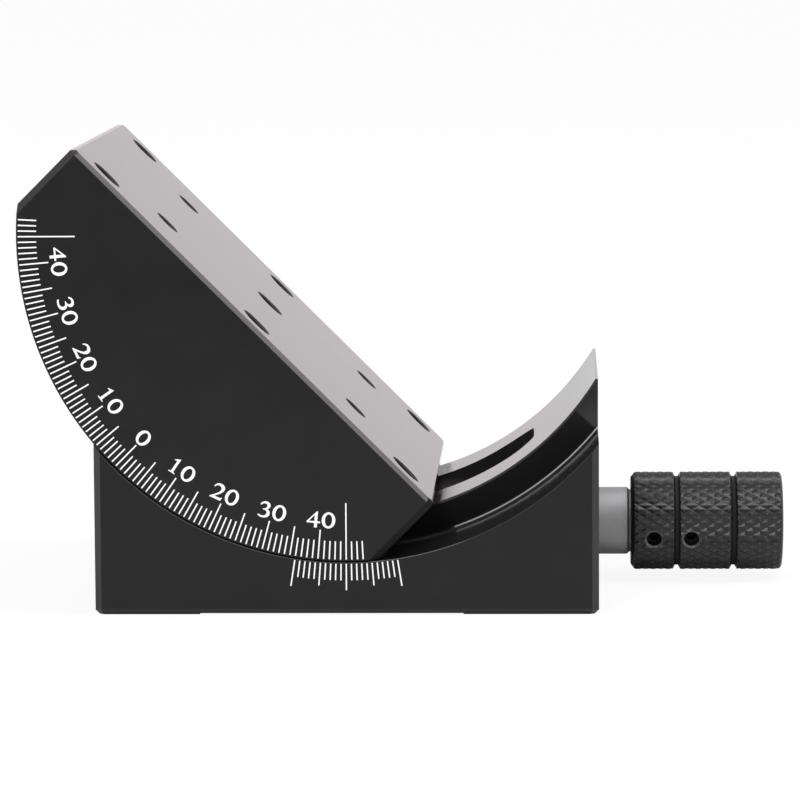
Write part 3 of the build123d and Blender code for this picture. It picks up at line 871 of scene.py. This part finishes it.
def knob_profile(settings):
    """The knob's outline as (x, radius), with fine steps along the knurled bands."""
    floor = KNOB_RADIUS - settings.groove_depth
    half_flat = settings.groove_flat / 2
    half_top = half_flat + settings.groove_run
    grooves = [KNOB_LOW.x + settings.first_band]
    grooves.append(grooves[0] + settings.second_band)
    end = KNOB_HIGH.x - settings.dome
    bands = [
        (KNOB_LOW.x + settings.start_length, grooves[0] - half_top),
        (grooves[0] + half_top, grooves[1] - half_top),
        (grooves[1] + half_top, end - settings.rounding),
    ]
    bore_end = KNOB_LOW.x + settings.bore_depth
    face_ring = 0.7
    profile = [
        (bore_end, 0.0),
        (bore_end, settings.bore),
        (KNOB_LOW.x, settings.bore),
        (KNOB_LOW.x, KNOB_RADIUS * face_ring),
    ]
    profile += slope((KNOB_LOW.x, KNOB_RADIUS - settings.start_depth), (bands[0][0], KNOB_RADIUS))
    step = settings.diamond_length / settings.divisions
    # No row lies nearer to a band's edge than this share of a step.
    spare = 0.3
    for near, far in bands:
        first = int((near - KNOB_LOW.x) / step + 1 + spare)
        last = int((far - KNOB_LOW.x) / step - spare)
        profile.append((near, KNOB_RADIUS))
        profile += [(KNOB_LOW.x + i * step, KNOB_RADIUS) for i in range(first, last + 1)]
        profile.append((far, KNOB_RADIUS))
        if far < grooves[1]:
            middle = far + half_top
            profile += slope((far, KNOB_RADIUS), (middle - half_flat, floor))[1:]
            profile.append((middle - half_flat, floor))
            profile += slope((middle + half_flat, floor), (middle + half_top, KNOB_RADIUS))
    for part in range(1, END_STEPS + 1):
        bend = pi / 2 * part / END_STEPS
        profile.append(
            (
                end - settings.rounding * (1 - sin(bend)),
                KNOB_RADIUS - settings.rounding * (1 - cos(bend)),
            )
        )
    rim = KNOB_RADIUS - settings.rounding
    for part in reversed(range(END_STEPS)):
        out = part / END_STEPS
        profile.append((end + settings.dome * (1 - out * out), rim * out))
    return profile


class DressBlocks(bpy.types.Operator):
    """Gives the base and the carriage their black anodising"""

    bl_idname = "gonio.dress_blocks"
    bl_label = "Anodise the blocks"

    def execute(self, context):
        for name in ("base", "carriage"):
            dressed(frame["nodes"][name], finish(anodised_black))
        return {"FINISHED"}


class EngraveScale(bpy.types.Operator):
    """Adds the carriage's degree marks and the base's vernier"""

    bl_idname = "gonio.engrave_scale"
    bl_label = "Engrave the scales"

    def execute(self, context):
        settings = context.scene.gonio_scale
        tree = marks_tree()
        travel = round(degrees(REST_TILT))
        marks(
            "degree_marks",
            "carriage",
            tree,
            {
                "Count": 2 * settings.reach + 1,
                "First Angle": -radians(settings.reach) - REST_TILT,
                "Step": radians(1.0),
                "Offset": settings.reach - travel,
                "Long Every": 2 * travel,
                "Short Length": settings.short,
                "Middle Length": settings.middle,
                "Long Length": settings.long,
                "Foot Radius": settings.radius,
                "Direction": -1.0,
            },
        )
        marks(
            "vernier_marks",
            "base",
            tree,
            {
                "Count": 2 * settings.vernier_divisions + 1,
                "First Angle": -settings.vernier_divisions * settings.vernier_step,
                "Step": settings.vernier_step,
                "Offset": settings.vernier_divisions,
                "Long Every": 10,
                "Short Length": settings.vernier_short,
                "Middle Length": settings.vernier_middle,
                "Long Length": settings.vernier_long,
                "Foot Radius": settings.vernier_radius,
                "Direction": 1.0,
            },
        )
        return {"FINISHED"}


class EngraveFigures(bpy.types.Operator):
    """Adds the figures of the degree scale"""

    bl_idname = "gonio.engrave_figures"
    bl_label = "Engrave the figures"

    def execute(self, context):
        settings = context.scene.gonio_scale
        travel = round(degrees(REST_TILT))
        builder = bmesh.new()
        last = travel // settings.figure_step * settings.figure_step
        for degree in range(-last, last + 1, settings.figure_step):
            figure = figure_mesh(str(abs(degree)), settings)
            angle = radians(degree) - REST_TILT
            right = Vector((cos(angle), 0.0, sin(angle)))
            up = Vector((-sin(angle), 0.0, cos(angle)))
            out = Vector((0.0, -1.0, 0.0))
            centre = Vector((0.0, FRONT + settings.proud / 2, TILT_HEIGHT))
            centre -= up * settings.figure_radius
            place = Matrix.Translation(centre) @ Matrix((right, up, out)).transposed().to_4x4()
            figure.data.transform(place)
            builder.from_mesh(figure.data)
            bpy.data.objects.remove(figure)
        bmesh.ops.remove_doubles(builder, verts=builder.verts, dist=0.001 * MM)
        bmesh.ops.recalc_face_normals(builder, faces=builder.faces)
        mesh = bpy.data.meshes.new("scale_figures")
        builder.to_mesh(mesh)
        builder.free()
        obj = shown("scale_figures", mesh)
        dressed(obj, finish(white_filler))
        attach(obj, "carriage")
        return {"FINISHED"}


class KnurlKnob(bpy.types.Operator):
    """Turns the knob, knurls its bands and drills its two set screw holes"""

    bl_idname = "gonio.knurl_knob"
    bl_label = "Knurl the knob"

    def execute(self, context):
        settings = context.scene.gonio_knob
        material = finish(knurled_black)
        segments = settings.diamonds * settings.divisions
        mesh = turned(knob_profile(settings), segments, SHAFT_HEIGHT)
        mesh.materials.append(material)
        body = grown(
            "knurled_knob",
            knurl_tree(),
            {
                "Diamonds": settings.diamonds,
                "Diamond Length": settings.diamond_length,
                "Depth": settings.diamond_depth,
                "Radius": KNOB_RADIUS,
                "Start": KNOB_LOW.x,
                "Axis Height": SHAFT_HEIGHT,
                "Groove Radius": KNOB_RADIUS - settings.groove_depth / 2,
                "Groove End": KNOB_HIGH.x - 2 * settings.rounding,
                "Wear": context.scene.gonio_finish.tip_wear,
                "Material": material,
                "Groove Shade Material": finish(dull_black),
            },
            shown("knob_blank", mesh),
        )
        out = Vector((0.0, -cos(settings.screw_angle), -sin(settings.screw_angle)))
        places = (settings.first_band / 2, settings.first_band + settings.second_band / 4)
        starts = [Vector((KNOB_LOW.x + place, 0.0, SHAFT_HEIGHT)) for place in places]
        cutters = [self.drill(start, out, settings) for start in starts]
        for cutter in cutters:
            modifier = body.modifiers.new("screw_hole", "BOOLEAN")
            modifier.operation = "DIFFERENCE"
            modifier.solver = "EXACT"
            modifier.object = cutter
        knob = made_plain(body, "knurled_knob")
        for cutter in cutters:
            bpy.data.objects.remove(cutter)
        self.rub_mouths(knob.data, starts, out, settings)
        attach(knob, "drive")
        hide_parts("knob")
        return {"FINISHED"}

    def rub_mouths(self, mesh, starts, out, settings):
        """Paints a highlight on the rims of the screw holes, by setting the attribute that the finish
        reads to its lightest.
        """
        rim = settings.screw_radius - settings.screw_mouth
        lowest = KNOB_RADIUS - settings.diamond_depth - 2.5 * rim
        for vertex, value in zip(mesh.vertices, mesh.attributes["ridge"].data):
            for start in starts:
                along = (vertex.co - start).dot(out)
                aside = (vertex.co - start - along * out).length
                if along > lowest and aside < settings.screw_radius + rim / 2:
                    value.value = 1.0

    def drill(self, start, out, settings):
        """A drill's envelope from the shaft outwards, with a narrower, countersunk mouth."""
        skin = KNOB_RADIUS - settings.diamond_depth
        rim = settings.screw_radius - settings.screw_mouth
        clearance = 1.5 * MM
        end = skin + clearance
        profile = [
            (0.0, 0.0),
            (0.0, settings.screw_radius),
            (skin - 3 * rim, settings.screw_radius),
            (skin - 2 * rim, settings.screw_mouth),
            (skin - rim, settings.screw_mouth),
            (skin, settings.screw_radius),
            (skin + rim, settings.screw_radius + rim),
            (end, settings.screw_radius + rim),
            (end, 0.0),
        ]
        mesh = turned(profile, DRILL_SIDES, 0.0)
        rotation = Vector((1.0, 0.0, 0.0)).rotation_difference(out).to_matrix().to_4x4()
        mesh.transform(Matrix.Translation(start) @ rotation)
        return shown("drill", mesh)


class FinishHardware(bpy.types.Operator):
    """Gives the shaft, its bearings, the segment, the gib and the screws their metals"""

    bl_idname = "gonio.finish_hardware"
    bl_label = "Finish the hardware"

    def execute(self, context):
        metals = {
            turned_steel: ("bearing_sleeve", "knob_shim"),
            ground_steel: ("worm_shaft", "thrust_ball", "stop_pin"),
            # The set screws get the same painted shade, as they sit deep in their holes.
            dull_black: ("knob_set_screws",),
            black_oxide: ("end_plug", "sleeve_screw", "segment_screws", "gib_screws"),
            cast_bronze: ("thrust_washers", "tail_bushing", "worm_wheel_segment"),
            drawn_brass: ("gib",),
        }
        for metal, names in metals.items():
            for name in names:
                dressed(frame["nodes"][name], finish(metal))
        return {"FINISHED"}


class SetStudio(bpy.types.Operator):
    """Adds the pale floor, the white surroundings, the lamps and the camera"""

    bl_idname = "gonio.set_studio"
    bl_label = "Set the studio"

    def execute(self, context):
        settings = context.scene.gonio_studio
        self.add_floor(settings)
        self.add_surroundings(settings)
        self.add_lamp(
            "softbox",
            settings.softbox,
            (settings.softbox_length, settings.softbox_width),
            settings.softbox_place,
        )
        self.add_lamp(
            "side_lamp",
            settings.side_lamp,
            (settings.side_lamp_width, settings.side_lamp_height),
            settings.side_lamp_place,
        )
        self.add_camera(settings)
        context.scene.view_settings.view_transform = "Standard"
        return {"FINISHED"}

    def add_floor(self, settings):
        """A wide white floor with a faint shadow; black faces mirror it darker towards the camera."""
        builder = bmesh.new()
        bmesh.ops.create_grid(builder, x_segments=1, y_segments=1, size=settings.floor_half)
        mesh = bpy.data.meshes.new("floor")
        builder.to_mesh(mesh)
        builder.free()
        floor = shown("floor", mesh)
        material = bpy.data.materials.new("white_floor")
        material.use_nodes = True
        maker = NodeMaker(material.node_tree)
        lit = maker.node("ShaderNodeBsdfDiffuse", None, {"Color": shade(settings.floor_colour)})
        glow = maker.node("ShaderNodeEmission", None, {"Color": WHITE})
        dark = maker.node("ShaderNodeEmission", None, {"Strength": 0.0})
        seen, mirrored = maker.node(
            "ShaderNodeLightPath", outputs=("Is Camera Ray", "Is Glossy Ray")
        )
        depth = maker.axes(maker.node("ShaderNodeTexCoord", outputs="Object"))[1]
        darkness = settings.front_shade - settings.shade_run * depth
        dim = maker.math("MINIMUM", darkness, settings.shade_most)
        dim = dim * (depth < -settings.shade_start)
        shaded = maker.node("ShaderNodeMixShader", None, {0: mirrored * dim, 1: lit, 2: dark})
        surface = maker.node(
            "ShaderNodeMixShader", None, {0: seen * settings.floor_glow, 1: shaded, 2: glow}
        )
        maker.node("ShaderNodeOutputMaterial", None, {"Surface": surface})
        dressed(floor, material)

    def add_surroundings(self, settings):
        """White surroundings, dimmer as a light than as a background or a reflection."""
        world = bpy.data.worlds.new("surroundings")
        bpy.context.scene.world = world
        world.use_nodes = True
        maker = NodeMaker(world.node_tree)
        camera, glossy = maker.node(
            "ShaderNodeLightPath", outputs=("Is Camera Ray", "Is Glossy Ray")
        )
        pale = maker.math("MAXIMUM", camera, glossy)
        strength = settings.surroundings + (1.0 - settings.surroundings) * pale
        tint = maker.mix_colours(glossy, WHITE, shade(settings.reflected))
        light = maker.node("ShaderNodeBackground", None, {"Color": tint, "Strength": strength})
        maker.node("ShaderNodeOutputWorld", None, {"Surface": light})

    def add_lamp(self, name, radiance, size, place):
        """A rectangular lamp that faces the stage: upright if low, across the front if high."""
        light = bpy.data.lights.new(name, "AREA")
        light.shape = "RECTANGLE"
        light.size, light.size_y = size
        light.energy = radiance * pi * light.size * light.size_y
        lamp = bpy.data.objects.new(name, light)
        bpy.context.scene.collection.objects.link(lamp)
        lamp.location = Vector(place) + Vector((0.0, 0.0, TILT_HEIGHT / 2))
        back = Vector(place).normalized()
        overhead = back.z > cos(pi / 4)
        sideways = Vector((0.0, 1.0, 0.0)) if overhead else Vector((0.0, 0.0, 1.0))
        across = sideways.cross(back).normalized()
        axes = Matrix((across, back.cross(across), back)).transposed()
        lamp.rotation_euler = axes.to_euler()

    def add_camera(self, settings):
        """The camera, with its axes worked out from yaw, dip and roll."""
        yaw, dip, roll = settings.camera_yaw, settings.camera_dip, settings.camera_roll
        ahead = Vector((-sin(yaw) * cos(dip), cos(yaw) * cos(dip), -sin(dip)))
        level = Vector((cos(yaw), sin(yaw), 0.0))
        above = level.cross(ahead)
        right = cos(roll) * level + sin(roll) * above
        up = -sin(roll) * level + cos(roll) * above
        camera = bpy.data.objects.new("camera", bpy.data.cameras.new("camera"))
        camera.data.lens = settings.lens
        camera.data.sensor_width = settings.film
        camera.data.clip_end = 100.0
        axes = Matrix((right, up, -ahead)).transposed().to_4x4()
        camera.matrix_world = Matrix.Translation(Vector(settings.camera_place)) @ axes
        bpy.context.scene.collection.objects.link(camera)
        bpy.context.scene.camera = camera


STEPS = (DressBlocks, EngraveScale, EngraveFigures, KnurlKnob, FinishHardware, SetStudio)
GROUPS = {
    "gonio_finish": FinishSettings,
    "gonio_scale": ScaleSettings,
    "gonio_knob": KnobSettings,
    "gonio_studio": StudioSettings,
}


class StagePanel(bpy.types.Panel):
    """Lists the steps that finish the stage, and their settings"""

    bl_idname = "VIEW3D_PT_gonio"
    bl_label = "Goniometer"
    bl_space_type = "VIEW_3D"
    bl_region_type = "UI"
    bl_category = "Goniometer"

    def draw(self, context):
        for step in STEPS:
            self.layout.operator(step.bl_idname)
        for group, kind in GROUPS.items():
            for name in kind.__annotations__:
                self.layout.prop(getattr(context.scene, group), name)


def register():
    """Adds the settings, the steps and the panel."""
    for name, group in GROUPS.items():
        bpy.utils.register_class(group)
        setattr(bpy.types.Scene, name, PointerProperty(type=group))
    for step in (*STEPS, StagePanel):
        bpy.utils.register_class(step)


def unregister():
    """Takes them away again."""
    for step in (*STEPS, StagePanel):
        bpy.utils.unregister_class(step)
    for name, group in GROUPS.items():
        delattr(bpy.types.Scene, name)
        bpy.utils.unregister_class(group)


def main():
    """Runs the steps in order."""
    register()
    bpy.ops.gonio.dress_blocks()
    bpy.ops.gonio.engrave_scale()
    bpy.ops.gonio.engrave_figures()
    bpy.ops.gonio.knurl_knob()
    bpy.ops.gonio.finish_hardware()
    bpy.ops.gonio.set_studio()


if __name__ == "__main__":
    main()
